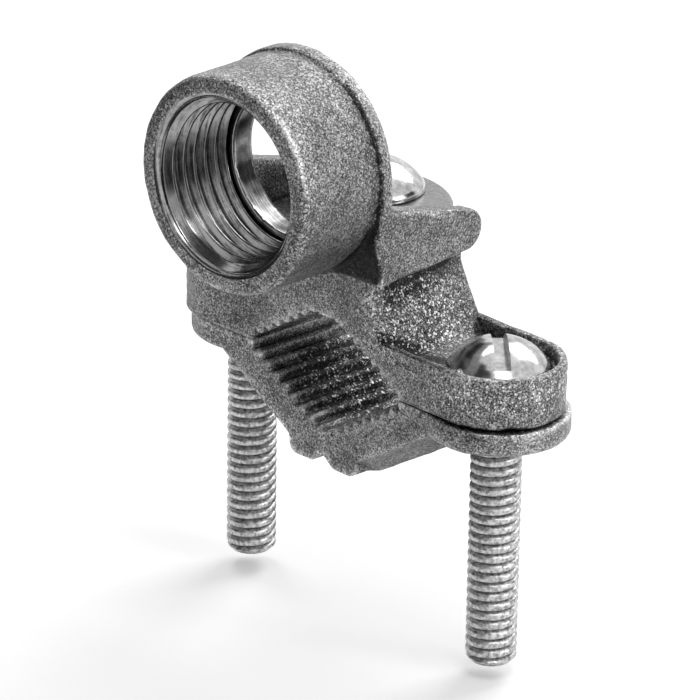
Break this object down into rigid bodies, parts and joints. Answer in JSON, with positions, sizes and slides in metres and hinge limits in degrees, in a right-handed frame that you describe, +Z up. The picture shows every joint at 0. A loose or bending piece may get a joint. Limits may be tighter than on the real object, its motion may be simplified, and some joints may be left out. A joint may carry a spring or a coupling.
{
  "type": "conduit ground clamp",
  "caption": "Cast pipe clamp with toothed jaws drawn together by slotted screws, a threaded conduit hub on top and a screw-down plate for the grounding wire.",
  "frame": {"origin": "centre of the pipe opening, on the face where the two jaws meet", "axes": "+X from the left clamp screw to the right one, +Y along the pipe away from the hub's mouth, +Z up through the hub"},
  "size_m": [0.0616, 0.0363, 0.0762],
  "materials": {
    "casting": "matt grey zinc-alloy casting, fine grain",
    "screw_steel": "bright zinc-plated steel",
    "plate_steel": "satin plated sheet"
  },
  "bodies": {
    "clamp_body": {"upper_jaw": "casting"},
    "jaw": {"lower_jaw": "casting"},
    "screw_left": {"clamp_screw_left": "screw_steel"},
    "screw_right": {"clamp_screw_right": "screw_steel"},
    "plate": {"wire_plate": "plate_steel"},
    "wire_screw": {"wire_screw": "screw_steel"}
  },
  "joints": [
    {"name": "left_screw_turn", "type": "hinge", "parent": "clamp_body", "child": "screw_left", "pos_m": [-0.0221, 0, 0.0045], "axis": [0, 0, 1], "range_deg": [0, 6481]},
    {"name": "right_screw_turn", "type": "hinge", "parent": "clamp_body", "child": "screw_right", "pos_m": [0.0221, 0, 0.0045], "axis": [0, 0, 1], "range_deg": [0, 6481]},
    {"name": "jaw_slide", "type": "slide", "parent": "clamp_body", "child": "jaw", "axis": [0, 0, -1], "range_m": [0, 0.02286]},
    {"name": "plate_lift", "type": "slide", "parent": "clamp_body", "child": "plate", "axis": [0, 0, 1], "range_m": [-0.0021, 0.005]},
    {"name": "wire_screw_turn", "type": "hinge", "parent": "plate", "child": "wire_screw", "pos_m": [-0.00054, -0.00012, 0.0215], "axis": [0, 0, 1], "range_deg": [-596, 1418]}
  ],
  "couplings": [
    {"joint": "left_screw_turn", "follows": "jaw_slide", "rad_per_m": 4947.4},
    {"joint": "right_screw_turn", "follows": "jaw_slide", "rad_per_m": 4947.4},
    {"joint": "wire_screw_turn", "follows": "plate_lift", "rad_per_m": 4947.4}
  ]
}
